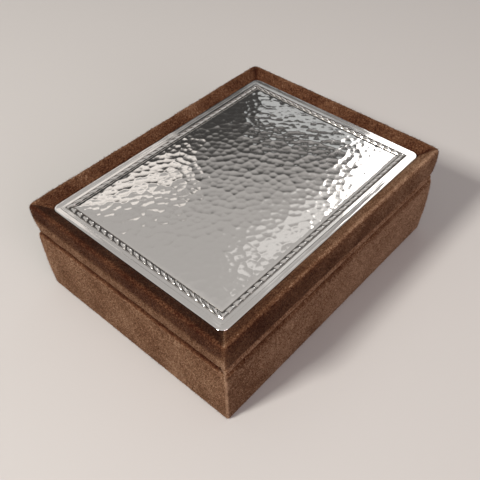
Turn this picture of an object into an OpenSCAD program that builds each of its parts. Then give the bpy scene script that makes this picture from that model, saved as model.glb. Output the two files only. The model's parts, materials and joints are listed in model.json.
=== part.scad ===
// A velvet-covered wooden case with a hinged lid, a hammered silver plaque on the lid,
// a mirror inside it and a lift-out tray with a round-bottomed channel for each lipstick.
// +X runs along the long side, the lid opens at the front (-Y) and is hinged at the back (+Y),
// +Z is up, and the origin is the middle of the underside.

/* [Case] */
// Length of the closed case, at the widest line of the lid
case_length = 130; // [126:0.5:136]
// Width of the closed case, front to back
case_width = 100; // [98:0.5:106]
// Height of the closed case, up to the crest of the velvet border
case_height = 45; // [45:0.5:48]
// Height of the base
base_height = 30.1; // [29:0.1:31]
// How far the lid's widest line stands out over the rim of the base
lid_overhang = 0.4; // [0.3:0.1:0.6]
// Rounding of the upright corners
corner_r = 1.6; // [1:0.1:3]

/* [Woodwork] */
// Thickness of the base walls and the lid rails
wall = 5; // [4.5:0.1:5.5]
// Thickness of the bottom board and the lid board
board = 3; // [2.5:0.1:3.5]

/* [Velvet] */
// Thickness of the velvet with its wadding at the rim of the base
velvet = 1.4; // [1.3:0.1:1.5]
// How much thinner the wadding is at the foot of the base
foot_taper = 0.6; // [0.4:0.1:0.7]
// Thickness of the covered card panels that line the inside
lining = 1.2; // [1:0.1:1.4]
// Width of the velvet border round the plaque
border = 5.7; // [5:0.1:6.5]
// Rounding of the padded edges at the seam
pad_r = 1.7; // [1.4:0.1:2.2]

/* [Plaque] */
// Width of the rolled rim
rim_w = 0.8; // [0.6:0.1:1.2]
// Width of the smooth margin between the rim and the rope border
margin_w = 3.2; // [2.5:0.1:4]
// Width of the rope border
rope_w = 2; // [1.5:0.1:2.5]
// Rounding of the plaque's corners
plaque_r = 3; // [2:0.1:3.5]

/* [Hinge] */
// Half of the angle of the notch behind the hinge, which lets the lid open
notch_half_angle = 50; // [46:1:54]
// Number of knuckles, counted on both leaves
knuckles = 13; // [9:2:17]
// Radius of the knuckles
knuckle_r = 1.1; // [1:0.05:1.2]
// Radius of the hinge pin
pin_r = 0.5; // [0.4:0.05:0.6]

/* [Tray] */
// Number of lipsticks that the tray holds
channels = 5; // [4:1:5]
// Radius of a channel, a little more than a lipstick's
channel_r = 9.9; // [9:0.1:10]
// Height of the tray
tray_height = 12.2; // [12:0.1:13]

/* [Hidden] */
$fn = 48;

little = 0.01;

// Half sizes, from the outside in
lid_x = case_length / 2;
lid_y = case_width / 2;
base_x = lid_x - lid_overhang;
base_y = lid_y - lid_overhang;
wood_x = base_x - velvet;
wood_y = base_y - velvet;
inner_x = wood_x - wall;
inner_y = wood_y - wall;
lined_x = inner_x - lining;
lined_y = inner_y - lining;

// Heights of the base
cloth_h = 0.6;
velvet_foot = 0.2;
wood_top = base_height - 0.9;
floor_z = cloth_h + board;
pad_h = 1.2;
tray_z = floor_z + pad_h;

// Heights of the lid
seam_gap = 0.6;
lid_bottom = base_height + seam_gap;
rail_bottom = lid_bottom + 1;
board_top = case_height - 4.4;
board_bottom = board_top - board;
ridge_z = case_height - 1.3;
side_lean = 1.2;

// Plaque
plaque_x = lid_x - border;
plaque_y = lid_y - border;
backing_h = 1.1;
backing_gap = 0.9;
plaque_z = board_top + backing_h;
sheet_h = 0.6;
rim_h = 0.9;
rope_h = 1.2;
field_h = 1;

// Hinge: the axis lies in the middle of the seam, this far in from the back of the base
axis_in = 1.8;
axis_y = base_y - axis_in;
axis_z = base_height + seam_gap / 2;
hinge_length = 2 * inner_x - 1;
knuckle_pitch = hinge_length / knuckles;
knuckle_gap = 0.15;
bore_r = pin_r + 0.05;
knuckle_room = 0.2;
leaf_h = 0.7;
leaf_front = inner_y + 0.3;
tongue_end = 0.6;
cover_in = knuckle_r + 0.15;
cover_out = cover_in + 0.4;
cover_x = base_x - 1;
cove_r = cover_out + 0.25;
skin_room = 0.2;

// Hinge screws
screw_y = (leaf_front + axis_y - knuckle_r) / 2;
screw_r = 0.6;
screw_head_r = 1.1;
screw_head_h = 0.5;
screw_length = 5;
screw_fit = 0.03;
screw_places = [for (s = [-1, 1], far = [0.16, 0.42]) s * far * hinge_length];

// Tray
tray_gap = 0.6;
tray_x = lined_x - tray_gap;
tray_y = lined_y - tray_gap;
tray_top = tray_z + tray_height;
channel_pitch = 2 * (tray_x - 1.2) / channels;
channel_end = 3;
flock = 0.8;
trough_r = 18;
trough_rise = 10;
tab_w = 10;
tab_h = 8;
tab_t = 0.8;

// Mirror
mirror_h = 1.8;
mirror_x = lined_x - 5.3;
mirror_y = lined_y - 5.3;
mirror_lip = 1.5;
frame_h = 3.2;

// Colours
velvet_brown = [0.42, 0.29, 0.21];
lining_brown = [0.55, 0.42, 0.33];
birch = [0.76, 0.62, 0.44];
silver = [0.82, 0.81, 0.79];
brass = [0.78, 0.62, 0.33];

// Points along an arc round (x, y), from angle a to angle b
function arc(x, y, r, a, b, steps = 6) =
    [for (i = [0:steps]) let (t = a + (b - a) * i / steps) [x + r * cos(t), y + r * sin(t)]];

// A rectangle with rounded corners, by its half sizes
module round_rect(x, y, r) {
    square([2 * x, 2 * (y - r)], center = true);
    square([2 * (x - r), 2 * y], center = true);
    for (sx = [-1, 1], sy = [-1, 1]) translate([sx * (x - r), sy * (y - r)]) circle(r);
}

// A block by its half sizes and its lowest and highest levels
module block(x, y, z0, z1) {
    translate([-x, -y, z0]) cube([2 * x, 2 * y, z1 - z0]);
}

// A rounded slab by its half sizes and its lowest and highest levels
module slab(x, y, r, z0, z1) {
    translate([0, 0, z0]) linear_extrude(z1 - z0) round_rect(x, y, r);
}

// An outline drawn in the Y-Z plane, drawn out along X, the middle of its length at x = 0
module along_x(length) {
    rotate([90, 0, 90]) linear_extrude(length, center = true) children();
}

// An outline drawn in the X-Z plane, drawn out along Y
module along_y(length) {
    rotate([90, 0, 0]) linear_extrude(length, center = true) children();
}

// A cylinder on the hinge axis, between two places along it
module on_axis(r, x0, x1) {
    translate([x0, axis_y, axis_z]) rotate([0, 90, 0]) cylinder(r = r, h = x1 - x0);
}

// The wedge of air behind the hinge axis that the lid turns through, made larger by room
module hinge_notch(room) {
    apex = axis_y - room / sin(notch_half_angle);
    reach = 12;
    rise = reach * tan(notch_half_angle);
    along_x(case_length + 10)
        polygon([[apex, axis_z], [apex + reach, axis_z - rise], [apex + reach, axis_z + rise]]);
}

// ---- base ----

// Outline of the base seen along one side: it widens a little towards a padded edge at the top
module base_outline(half) {
    foot_r = 0.8;
    side = concat(
        arc(half - foot_taper - foot_r, velvet_foot + foot_r, foot_r, -90, 0),
        arc(half - pad_r, base_height - pad_r, pad_r, 0, 90)
    );
    polygon(concat(side, [for (i = [len(side) - 1:-1:0]) [-side[i][0], side[i][1]]]));
}

module base_velvet() {
    color(velvet_brown) difference() {
        intersection() {
            slab(base_x, base_y, corner_r, velvet_foot, base_height);
            along_x(case_length) base_outline(base_y);
            along_y(case_width) base_outline(base_x);
        }
        block(wood_x, wood_y, cloth_h, wood_top);
        block(wood_x - 1, wood_y - 1, 0, cloth_h + little);
        block(inner_x, inner_y, 0, case_height);
        hinge_notch(skin_room);
        on_axis(cove_r, -lid_x, lid_x);
        leaf_pocket(hinge_length + 0.4, wood_top, case_height);
    }
}

// Room for a hinge leaf between two levels
module leaf_pocket(length, z0, z1) {
    translate([-length / 2, inner_y - 1, z0]) cube([length, axis_y - inner_y + 1, z1 - z0]);
}

module underside_cloth() {
    color([0.2, 0.14, 0.1]) slab(wood_x - 1.3, wood_y - 1.3, 1, 0, cloth_h);
}

module bottom_board() {
    color(birch) block(inner_x, inner_y, cloth_h, floor_z);
}

// The front and back walls run the whole length, and the side walls stand between them
module long_wall(side) {
    translate([-wood_x, side > 0 ? inner_y : -wood_y, cloth_h])
        cube([2 * wood_x, wall, wood_top - cloth_h]);
}

module side_wall(side) {
    translate([side > 0 ? inner_x : -wood_x, -inner_y, cloth_h])
        cube([wall, 2 * inner_y, wood_top - cloth_h]);
}

module front_wall() {
    color(birch) long_wall(-1);
}

module back_wall() {
    color(birch) difference() {
        long_wall(1);
        hinge_notch(skin_room + velvet - 0.1);
        on_axis(cove_r, -lid_x, lid_x);
        for (x = screw_places)
            translate([x, screw_y, wood_top - screw_length]) cylinder(r = screw_r + screw_fit, h = screw_length + 1);
    }
}

module left_wall() {
    color(birch) side_wall(-1);
}

module right_wall() {
    color(birch) side_wall(1);
}

// Covered card panels on the inside of a wall or a rail, between two levels
module long_panel(side, z0, z1) {
    translate([-inner_x, side > 0 ? lined_y : -inner_y, z0]) cube([2 * inner_x, lining, z1 - z0]);
}

module side_panel(side, z0, z1) {
    translate([side > 0 ? lined_x : -inner_x, -lined_y, z0]) cube([lining, 2 * lined_y, z1 - z0]);
}

lining_top = base_height - 0.2;

module front_lining() {
    color(lining_brown) long_panel(-1, floor_z, lining_top);
}

module back_lining() {
    color(lining_brown) long_panel(1, floor_z, lining_top);
}

module left_lining() {
    color(lining_brown) side_panel(-1, floor_z, lining_top);
}

module right_lining() {
    color(lining_brown) side_panel(1, floor_z, lining_top);
}

module floor_pad() {
    color(lining_brown) slab(lined_x - 0.2, lined_y - 0.2, 1, floor_z, tray_z);
}

// ---- hinge ----

// One leaf: a flat plate screwed to the wood, and every second knuckle along the axis on a short
// tongue, starting at the first place or the second
module leaf(first, z0) {
    difference() {
        union() {
            translate([-hinge_length / 2, leaf_front, z0])
                cube([hinge_length, axis_y - knuckle_r - knuckle_room - leaf_front, leaf_h]);
            for (i = [first:2:knuckles - 1]) {
                x = -hinge_length / 2 + i * knuckle_pitch + knuckle_gap;
                width = knuckle_pitch - 2 * knuckle_gap;
                translate([x, leaf_front, z0]) cube([width, axis_y - tongue_end - leaf_front, leaf_h]);
                on_axis(knuckle_r, x, x + width);
            }
        }
        on_axis(bore_r, -lid_x, lid_x);
        children();
    }
}

// A countersunk screw standing in the leaf, its head at the top, made larger by room
module screw(room) {
    translate([0, 0, -screw_head_h]) cylinder(r1 = screw_r + room, r2 = screw_head_r + room, h = screw_head_h);
    translate([0, 0, -screw_length]) cylinder(r = screw_r + room, h = screw_length - screw_head_h + little);
}

base_leaf_z = wood_top;
lid_leaf_z = rail_bottom - leaf_h;

module base_hinge_leaf() {
    color(brass) leaf(0, base_leaf_z) {
        for (x = screw_places) translate([x, screw_y, base_leaf_z + leaf_h + little]) screw(screw_fit);
    }
}

module lid_hinge_leaf() {
    color(brass) leaf(1, lid_leaf_z) {
        for (x = screw_places) translate([x, screw_y, lid_leaf_z - little]) mirror([0, 0, 1]) screw(screw_fit);
    }
}

module base_hinge_screws() {
    color(brass) for (x = screw_places) translate([x, screw_y, base_leaf_z + leaf_h]) screw(0);
}

module lid_hinge_screws() {
    color(brass) for (x = screw_places) translate([x, screw_y, lid_leaf_z]) mirror([0, 0, 1]) screw(0);
}

module hinge_pin() {
    color("silver") on_axis(pin_r, -hinge_length / 2, hinge_length / 2);
}

// A strip of velvet that is glued to the lid and rolled round the back of the knuckles
module hinge_cover() {
    start = -15;
    end = 110;
    reach = 4;
    sector = [for (t = [start:(end - start) / 3:end]) [axis_y + reach * cos(t), axis_z + reach * sin(t)]];
    color(velvet_brown) intersection() {
        difference() {
            on_axis(cover_out, -cover_x, cover_x);
            on_axis(cover_in, -lid_x, lid_x);
        }
        along_x(case_length) polygon(concat([[axis_y, axis_z]], sector));
    }
}

// ---- tray ----

// Round-bottomed troughs for the lipsticks, and one across them for the fingers
module channel_cuts(grow) {
    for (i = [0:channels - 1])
        translate([(i - (channels - 1) / 2) * channel_pitch, 0, tray_top])
            rotate([90, 0, 0])
                cylinder(r = channel_r + grow, h = 2 * (tray_y - channel_end + grow), center = true);
    translate([0, 0, tray_top + trough_rise])
        rotate([0, 90, 0])
            cylinder(r = trough_r + grow, h = 2 * (tray_x - 2.5 + grow), center = true);
}

module tray_core() {
    color(birch) difference() {
        slab(tray_x - flock, tray_y - flock, 1, tray_z, tray_top - flock);
        channel_cuts(flock);
        tab_slots();
    }
}

module tray_velvet() {
    color(velvet_brown) difference() {
        slab(tray_x, tray_y, 1.4, tray_z, tray_top);
        difference() {
            slab(tray_x - flock, tray_y - flock, 1, tray_z - 1, tray_top - flock);
            channel_cuts(flock);
        }
        channel_cuts(0);
        tab_slots();
    }
}

tab_x = tray_x - 1.3;
tab_root = 5;

// Places of the two ribbon tabs, which are let into the ends of the tray
module tab(side, room) {
    translate([side * tab_x - tab_t / 2 - room, -tab_w / 2 - room, tray_top - tab_root - room])
        cube([tab_t + 2 * room, tab_w + 2 * room, tab_root + tab_h + room]);
}

module tab_slots() {
    for (side = [-1, 1]) tab(side, 0.05);
}

module left_tray_tab() {
    color([0.3, 0.19, 0.13]) tab(-1, 0);
}

module right_tray_tab() {
    color([0.3, 0.19, 0.13]) tab(1, 0);
}

// ---- lid ----

// A quarter of the lid's plan between its mitres: the part nearest to one side
module mitre(side) {
    far = case_length;
    cut = lid_x - lid_y;
    // the mitre lines run at 45 degrees in from each corner
    corner = [lid_x + 10, lid_y + 10];
    long_side = [[-corner[0], corner[1]], [-cut, 0], [cut, 0], corner];
    short_side = [[corner[0], corner[1]], [cut, 0], [corner[0], -corner[1]]];
    translate([0, 0, -far / 2]) linear_extrude(2 * far) {
        if (side == "back") polygon(long_side);
        if (side == "front") mirror([0, 1]) polygon(long_side);
        if (side == "right") polygon(short_side);
        if (side == "left") mirror([1, 0]) polygon(short_side);
    }
}

// A rail or strip with one cross-section, cut to length by the mitres; the outline has its
// outer side at u = 0 and the case at u < 0
module lid_member(side) {
    intersection() {
        mitre(side);
        if (side == "back") along_x(case_length) translate([lid_y, 0]) children();
        if (side == "front") mirror([0, 1, 0]) along_x(case_length) translate([lid_y, 0]) children();
        if (side == "right") along_y(case_width) translate([lid_x, 0]) children();
        if (side == "left") mirror([1, 0, 0]) along_y(case_width) translate([lid_x, 0]) children();
    }
}

rail_out = lid_overhang + velvet;

module rail_outline() {
    translate([-rail_out - wall, rail_bottom]) square([wall, board_top - rail_bottom]);
}

// Cross-section of the padded velvet strip: it starts under the plaque's rim, rises to a crest,
// turns over the widest line, leans in down the side and turns under the rail
module velvet_outline() {
    tuck = border + rim_w - 0.1;
    crest_r = 1.3;
    under = rail_out + wall;
    difference() {
        polygon(concat(
            [[-under, lid_bottom]],
            arc(-side_lean - pad_r, lid_bottom + pad_r, pad_r, -90, -6),
            [[-0.06, ridge_z - crest_r]],
            arc(-crest_r, case_height - crest_r, crest_r, 0, 105),
            [[-border + 0.9, plaque_z + 0.9]],
            [[-border + 0.05, plaque_z + 0.3]],
            [[-border + 0.05, plaque_z]],
            [[-tuck, plaque_z]],
            [[-tuck, board_top]],
            [[-under, board_top]]
        ));
        rail_outline();
        translate([-under - 5, rail_bottom]) square([5 + little, case_height]);
    }
}

module lid_rail(side) {
    color(birch) difference() {
        lid_member(side) rail_outline();
        hinge_notch(skin_room + velvet - 0.1);
        on_axis(cove_r, -lid_x, lid_x);
        if (side == "back") {
            for (x = screw_places)
                translate([x, screw_y, rail_bottom - 1]) cylinder(r = screw_r + screw_fit, h = screw_length + 1);
        }
    }
}

module lid_velvet(side) {
    color(velvet_brown) difference() {
        intersection() {
            lid_member(side) velvet_outline();
            slab(lid_x, lid_y, corner_r, 0, case_height + 1);
        }
        hinge_notch(skin_room);
        on_axis(cove_r, -lid_x, lid_x);
        if (side == "back") leaf_pocket(case_length, 0, rail_bottom + little);
    }
}

module lid_front_rail() {
    lid_rail("front");
}

module lid_back_rail() {
    lid_rail("back");
}

module lid_left_rail() {
    lid_rail("left");
}

module lid_right_rail() {
    lid_rail("right");
}

module lid_front_velvet() {
    lid_velvet("front");
}

module lid_back_velvet() {
    lid_velvet("back");
}

module lid_left_velvet() {
    lid_velvet("left");
}

module lid_right_velvet() {
    lid_velvet("right");
}

module lid_board() {
    color(birch) block(inner_x, inner_y, board_bottom, board_top);
}

module plaque_backing() {
    color([0.5, 0.45, 0.38])
        slab(plaque_x - backing_gap, plaque_y - backing_gap, plaque_r, board_top, plaque_z);
}

// A ring between two insets from the plaque's edge
module plaque_ring(from, to, z1) {
    difference() {
        slab(plaque_x - from, plaque_y - from, max(plaque_r - from, 0.5), plaque_z, z1);
        slab(plaque_x - to, plaque_y - to, max(plaque_r - to, 0.5), plaque_z - 1, z1 + 1);
    }
}

module silver_plaque() {
    rope_in = rim_w + margin_w;
    color(silver) {
        slab(plaque_x, plaque_y, plaque_r, plaque_z, plaque_z + sheet_h);
        plaque_ring(0, rim_w, plaque_z + rim_h);
        plaque_ring(rope_in, rope_in + rope_w, plaque_z + rope_h);
        slab(plaque_x - rope_in - rope_w - 0.3, plaque_y - rope_in - rope_w - 0.3, 0.5, plaque_z, plaque_z + field_h);
    }
}

lid_lining_bottom = lid_bottom + 0.3;

module lid_front_lining() {
    color(lining_brown) long_panel(-1, lid_lining_bottom, board_bottom);
}

module lid_back_lining() {
    color(lining_brown) long_panel(1, lid_lining_bottom, board_bottom);
}

module lid_left_lining() {
    color(lining_brown) side_panel(-1, lid_lining_bottom, board_bottom);
}

module lid_right_lining() {
    color(lining_brown) side_panel(1, lid_lining_bottom, board_bottom);
}

module mirror_glass() {
    color([0.75, 0.8, 0.82, 0.9])
        slab(mirror_x + mirror_lip - 0.1, mirror_y + mirror_lip - 0.1, 2, board_bottom - mirror_h, board_bottom);
}

// The padded frame that holds the mirror against the lid board
module mirror_frame() {
    color(velvet_brown) difference() {
        slab(lined_x - 0.1, lined_y - 0.1, 1, board_bottom - frame_h, board_bottom);
        slab(mirror_x, mirror_y, 2, 0, case_height);
        slab(mirror_x + mirror_lip, mirror_y + mirror_lip, 2.1, board_bottom - mirror_h - 0.05, case_height);
    }
}

underside_cloth();
bottom_board();
front_wall();
back_wall();
left_wall();
right_wall();
base_velvet();
front_lining();
back_lining();
left_lining();
right_lining();
floor_pad();
base_hinge_leaf();
hinge_pin();
base_hinge_screws();
tray_core();
tray_velvet();
left_tray_tab();
right_tray_tab();
lid_board();
lid_front_rail();
lid_back_rail();
lid_left_rail();
lid_right_rail();
lid_front_velvet();
lid_back_velvet();
lid_left_velvet();
lid_right_velvet();
plaque_backing();
silver_plaque();
lid_front_lining();
lid_back_lining();
lid_left_lining();
lid_right_lining();
mirror_glass();
mirror_frame();
lid_hinge_leaf();
lid_hinge_screws();
hinge_cover();
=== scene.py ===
import json
import math

import bmesh
import bpy
import numpy as np
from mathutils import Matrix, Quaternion, Vector


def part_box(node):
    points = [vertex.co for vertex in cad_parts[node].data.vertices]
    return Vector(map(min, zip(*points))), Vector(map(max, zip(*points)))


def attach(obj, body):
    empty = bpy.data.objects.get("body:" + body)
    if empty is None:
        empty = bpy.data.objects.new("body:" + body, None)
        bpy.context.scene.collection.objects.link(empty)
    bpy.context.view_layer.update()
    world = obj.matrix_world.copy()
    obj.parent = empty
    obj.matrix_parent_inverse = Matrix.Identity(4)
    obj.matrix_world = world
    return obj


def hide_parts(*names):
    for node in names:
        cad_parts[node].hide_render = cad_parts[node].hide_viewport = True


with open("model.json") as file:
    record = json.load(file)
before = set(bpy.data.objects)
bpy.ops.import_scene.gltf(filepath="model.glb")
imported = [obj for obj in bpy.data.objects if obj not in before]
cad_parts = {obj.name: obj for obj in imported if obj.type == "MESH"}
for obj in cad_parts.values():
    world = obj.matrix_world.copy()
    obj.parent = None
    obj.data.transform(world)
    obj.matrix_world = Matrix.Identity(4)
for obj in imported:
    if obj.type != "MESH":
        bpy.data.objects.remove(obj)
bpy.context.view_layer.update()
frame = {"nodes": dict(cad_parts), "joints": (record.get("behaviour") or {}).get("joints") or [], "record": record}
nodes = frame["nodes"]
mm = 0.001
print("frame loaded")



# places that the pieces share, read from the frame
def low(node):
    return np.array(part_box(node)[0])


def high(node):
    return np.array(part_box(node)[1])


lidHalf = np.array([high("lid_right_velvet")[0], high("lid_back_velvet")[1]])
baseHalf = high("base_velvet")[:2]
woodHalf = np.array([high("right_wall")[0], high("back_wall")[1]])
innerHalf = high("bottom_board")[:2]
caseTop = high("lid_front_velvet")[2]
lidBottom = low("lid_front_velvet")[2]
railBottom = low("lid_front_rail")[2]
boardTop = high("lid_board")[2]
baseTop = high("base_velvet")[2]
woodTop = high("front_wall")[2]
plaqueHalf = high("silver_plaque")[:2]
plaqueFoot = low("silver_plaque")[2]
lidJoint = next(joint for joint in frame["joints"] if joint["name"] == "lid_hinge")
axisY, axisZ = lidJoint["pos_m"][1:]


def smoothLine(points, count, rounds=3):
    # corners are cut off a quarter of the way along each stretch, again and again, which rounds
    # the line; then it is divided evenly by length
    line = np.array(points, float)
    for _ in range(rounds):
        before, after = line[:-1], line[1:]
        cut = np.stack([before * 0.75 + after * 0.25, before * 0.25 + after * 0.75], 1)
        cut = cut.reshape(-1, line.shape[1])
        line = np.concatenate([line[:1], cut, line[-1:]])
    run = np.concatenate([[0], np.cumsum(np.linalg.norm(np.diff(line, axis=0), axis=1))])
    at = np.linspace(0, run[-1], count)
    return np.stack([np.interp(at, run, line[:, i]) for i in range(line.shape[1])], 1)


def arcLine(centre, radius, start, end, count):
    # points on a circle between two angles, in degrees
    turn = np.radians(np.linspace(start, end, count))
    return np.stack([centre[0] + radius * np.cos(turn), centre[1] + radius * np.sin(turn)], 1)


def ripples(points, size, seed, waves=7):
    # a soft, even unevenness from -1 to 1: the mean of sines that run in different directions
    dice = np.random.default_rng(seed)
    ways = dice.normal(size=(waves, 3))
    ways /= np.linalg.norm(ways, axis=1)[:, None]
    lengths = size * dice.uniform(0.6, 1.6, waves)
    starts = dice.uniform(0, 2 * math.pi, waves)
    flat = points.reshape(-1, 3)
    total = np.sin(flat @ (ways / lengths[:, None]).T * 2 * math.pi + starts).sum(1)
    return (total / math.sqrt(waves) / 1.4).reshape(points.shape[:-1])


def stationsRound(straightX, straightY, corner):
    # places round a rounded rectangle, from the middle of the right side: where each lies along
    # the straight stretches (-1 to 1 each way) and the direction that it faces
    rows = []
    quarter = math.pi / 2
    for side in range(4):
        facing = side * quarter
        count = straightY if side % 2 == 0 else straightX
        run = np.linspace(-1, 1, count, endpoint=False)
        normal = np.array([math.cos(facing), math.sin(facing)])
        along = np.array([-normal[1], normal[0]])
        for f in run:
            rows.append([*(normal + along * f), *normal])
        end = normal + along
        for turn in np.linspace(0, quarter, corner, endpoint=False):
            rows.append([*end, math.cos(facing + turn), math.sin(facing + turn)])
    return np.array(rows)


def stationsSide(side, straight, corner):
    # the same for one side between its two mitres, half of each corner included
    facing = {"right": 0, "back": 1, "left": 2, "front": 3}[side] * math.pi / 2
    normal = np.array([math.cos(facing), math.sin(facing)])
    along = np.array([-normal[1], normal[0]])
    half = np.linspace(-math.pi / 4, 0, corner, endpoint=False)
    rows = [[*(normal - along), math.cos(facing + t), math.sin(facing + t)] for t in half]
    spread = np.sin(np.linspace(-1, 1, straight) * math.pi / 2)  # closer together near the ends
    rows += [[*(normal + along * f), *normal] for f in spread]
    rows += [[*(normal + along), math.cos(facing - t), math.sin(facing - t)] for t in half[::-1]]
    return np.array(rows)


def carry(outline, stations, half, radius):
    # an outline of (outward, up) points carried round a rounded rectangle: every point of the
    # outline follows its own rectangle, larger by its outward distance; gives points and normals
    out, up = outline[:, 0], outline[:, 1]
    corner = np.broadcast_to(radius, out.shape)
    place, facing = stations[:, None, :2], stations[:, None, 2:]
    size = (np.asarray(half)[None, :] + out[:, None] - corner[:, None])[None]
    flat = place * size + facing * corner[None, :, None]
    points = np.concatenate([flat, np.broadcast_to(up[None, :, None], flat.shape[:2] + (1,))], 2)
    slope = np.gradient(outline, axis=0)
    slope /= np.maximum(np.linalg.norm(slope, axis=1), 1e-12)[:, None]
    normals = np.concatenate(
        [facing * slope[None, :, 1:2], np.broadcast_to(-slope[None, :, 0:1], flat.shape[:2] + (1,))], 2
    )
    return points, normals


def gridFaces(rows, columns, closeRows=False, closeColumns=False, start=0):
    # the four-cornered faces of a grid of points, which may close on itself either way
    r = np.arange(rows if closeRows else rows - 1)
    c = np.arange(columns if closeColumns else columns - 1)
    r, c = np.meshgrid(r, c, indexing="ij")
    nextR, nextC = (r + 1) % rows, (c + 1) % columns
    quads = np.stack([r * columns + c, nextR * columns + c, nextR * columns + nextC, r * columns + nextC], -1)
    return quads.reshape(-1, 4) + start


class Shape:
    # gathers grids of points into one mesh, with a number for each point where a pattern needs it: on velvet its
    # painted light and shade, on silver the patina in its hollows
    def __init__(self):
        self.points, self.faces, self.marks, self.size = [], [], [], 0

    def grid(self, points, closeRows=False, closeColumns=False, flip=False, mark=None):
        rows, columns = points.shape[:2]
        quads = gridFaces(rows, columns, closeRows, closeColumns, self.size)
        self.faces += [tuple(q) for q in (quads[:, ::-1] if flip else quads).tolist()]
        return self.add(points, mark)

    def cap(self, indices):
        self.faces.append(tuple(int(i) for i in indices))

    def capEnds(self, start, rows, columns):
        # one face over each open end of a grid whose columns close into a ring
        ring = np.arange(columns)
        self.cap(start + ring)
        self.cap(start + (rows - 1) * columns + ring[::-1])

    def add(self, points, mark=None):
        flat = points.reshape(-1, 3)
        start = self.size
        self.points.append(flat)
        self.marks.append(np.broadcast_to(0.5 if mark is None else mark, points.shape[:-1]).reshape(-1))
        self.size += len(flat)
        return start

    def piece(self, name, material, weld=0.0, turnOut=True):
        mesh = bpy.data.meshes.new(name)
        mesh.from_pydata(np.concatenate(self.points), [], self.faces)
        mark = mesh.attributes.new("paintedShadeAndPatina", "FLOAT", "POINT")
        mark.data.foreach_set("value", np.concatenate(self.marks).astype(np.float32))
        work = bmesh.new()
        work.from_mesh(mesh)
        if weld:
            bmesh.ops.remove_doubles(work, verts=work.verts, dist=weld)
            bmesh.ops.dissolve_degenerate(work, edges=work.edges, dist=weld / 4)
        if turnOut:
            bmesh.ops.recalc_face_normals(work, faces=work.faces)
        work.to_mesh(mesh)
        work.free()
        mesh.shade_smooth()
        piece = bpy.data.objects.new(name, mesh)
        bpy.context.scene.collection.objects.link(piece)
        mesh.materials.append(material)
        return piece


class Wire:
    # a shader socket that takes part in sums
    def __init__(self, kit, socket):
        self.kit, self.socket = kit, socket

    def __add__(self, other): return self.kit.maths("ADD", self, other)
    def __radd__(self, other): return self.kit.maths("ADD", other, self)
    def __sub__(self, other): return self.kit.maths("SUBTRACT", self, other)
    def __rsub__(self, other): return self.kit.maths("SUBTRACT", other, self)
    def __mul__(self, other): return self.kit.maths("MULTIPLY", self, other)
    def __rmul__(self, other): return self.kit.maths("MULTIPLY", other, self)
    def __truediv__(self, other): return self.kit.maths("DIVIDE", self, other)
    def __pow__(self, other): return self.kit.maths("POWER", self, other)


class MaterialKit:
    def __init__(self, name, **shader):
        self.material = bpy.data.materials.new(name)
        self.material.use_nodes = True
        self.tree = self.material.node_tree
        self.tree.nodes.clear()
        output = self.tree.nodes.new("ShaderNodeOutputMaterial")
        self.shader = self.tree.nodes.new("ShaderNodeBsdfPrincipled")
        self.tree.links.new(self.shader.outputs[0], output.inputs["Surface"])
        self.set(**shader)

    def put(self, socket, value):
        if isinstance(value, Wire):
            self.tree.links.new(value.socket, socket)
        elif isinstance(value, (tuple, list)) and len(value) == 3 and socket.type == "RGBA":
            socket.default_value = (*value, 1)
        else:
            socket.default_value = value

    def set(self, **sockets):
        # socket names are written without spaces
        named = {s.name.replace(" ", ""): s for s in self.shader.inputs}
        for name, value in sockets.items():
            self.put(named[name], value)

    def node(self, kind, settings=None, sockets=None, give=0):
        made = self.tree.nodes.new(kind)
        settings = dict(settings or {})
        stops = settings.pop("stops", None)
        for name, value in settings.items():
            setattr(made, name, value)
        if stops:
            ramp = made.color_ramp
            while len(ramp.elements) < len(stops):
                ramp.elements.new(0.5)
            for element, (place, colour) in zip(ramp.elements, stops):
                element.position = place
                element.color = (*colour, 1)
        for name, value in (sockets or {}).items():
            self.put(made.inputs[name], value)
        return Wire(self, made.outputs[give])

    def maths(self, operation, a, b):
        return self.node("ShaderNodeMath", {"operation": operation}, {0: a, 1: b})

    def clamped(self, value):
        return self.node("ShaderNodeClamp", None, {"Value": value})

    def mix(self, factor, a, b, blend="MIX"):
        made = {"data_type": "RGBA", "blend_type": blend}
        return self.node("ShaderNodeMix", made, {"Factor": factor, 6: a, 7: b}, 2)

    def objectPlace(self):
        return self.node("ShaderNodeTexCoord", None, None, "Object")

    def stretched(self, place, scale, turn=(0, 0, 0)):
        return self.node("ShaderNodeMapping", None, {"Vector": place, "Scale": scale, "Rotation": turn})

    def noise(self, place, size, detail=2.0, roughness=0.5):
        # size is the width of the blotches in metres
        return self.node("ShaderNodeTexNoise", None,
                         {"Vector": place, "Scale": 1 / size, "Detail": detail, "Roughness": roughness})

    def mark(self, name):
        return self.node("ShaderNodeAttribute", {"attribute_name": name}, None, "Fac")

    def bump(self, height, distance, strength=1.0):
        sockets = {"Height": height, "Distance": distance, "Strength": strength}
        return self.node("ShaderNodeBump", None, sockets)


# the velvet's colour runs from painted shade through its own brown to painted light
velvetLook = {
    "deep": (0.030, 0.0070, 0.0024),     # painted shade: the dark look of the pile where one looks into it, away from the light
    "middle": (0.116, 0.053, 0.026),
    "light": (0.32, 0.202, 0.128),       # painted light: the pile where the light falls full on it
    "grain": 0.50 * mm,
    "tuft": 1.3 * mm,
    "brushed": 9 * mm,
    "patchy": 0.34,
    "grainDepth": 0.22 * mm,
    "sheen": 0.09,
    "sheenTint": (0.85, 0.62, 0.44),
}


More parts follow.
